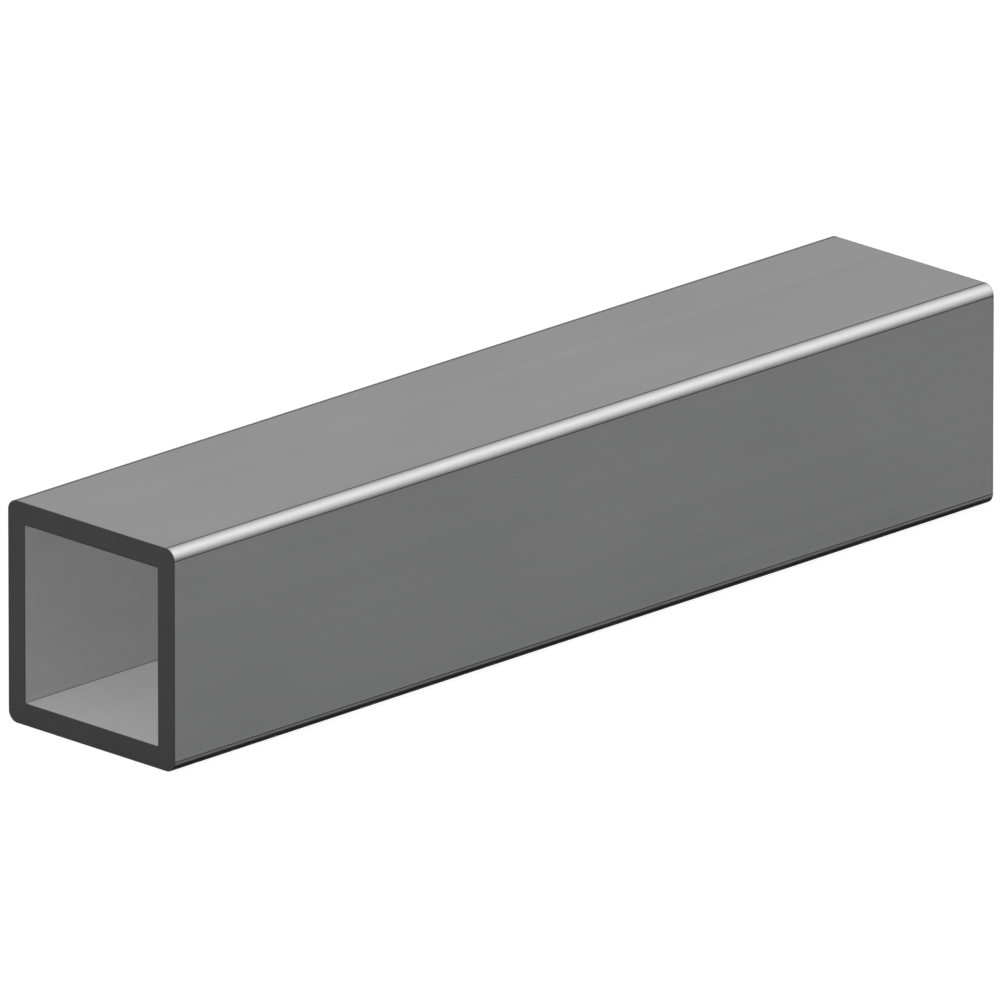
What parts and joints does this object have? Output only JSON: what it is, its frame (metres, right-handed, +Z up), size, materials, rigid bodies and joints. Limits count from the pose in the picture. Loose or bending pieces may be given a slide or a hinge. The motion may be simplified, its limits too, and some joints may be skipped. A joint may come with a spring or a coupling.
{
  "type": "square metal tube",
  "caption": "Length of thick-walled square steel tube, open ended, with rounded outside corners, near-sharp inside corners and plain sawn ends.",
  "frame": {"origin": "centre of the tube's footprint, on the level surface that its lower side lies on, midway between the two sawn ends", "axes": "+X along the tube, +Z up out of its upper side, +Y across it; the section stands in the Y-Z plane and the bore's axis runs along X at half the side's height"},
  "size_m": [0.5, 0.1, 0.1],
  "materials": {
    "tube_steel": "bare drawn steel, satin mid grey, with fine lengthwise drawing marks, a duller bore and two darker sawn ends"
  },
  "bodies": {
    "root": {"square_tube": "tube_steel"}
  },
  "joints": []
}
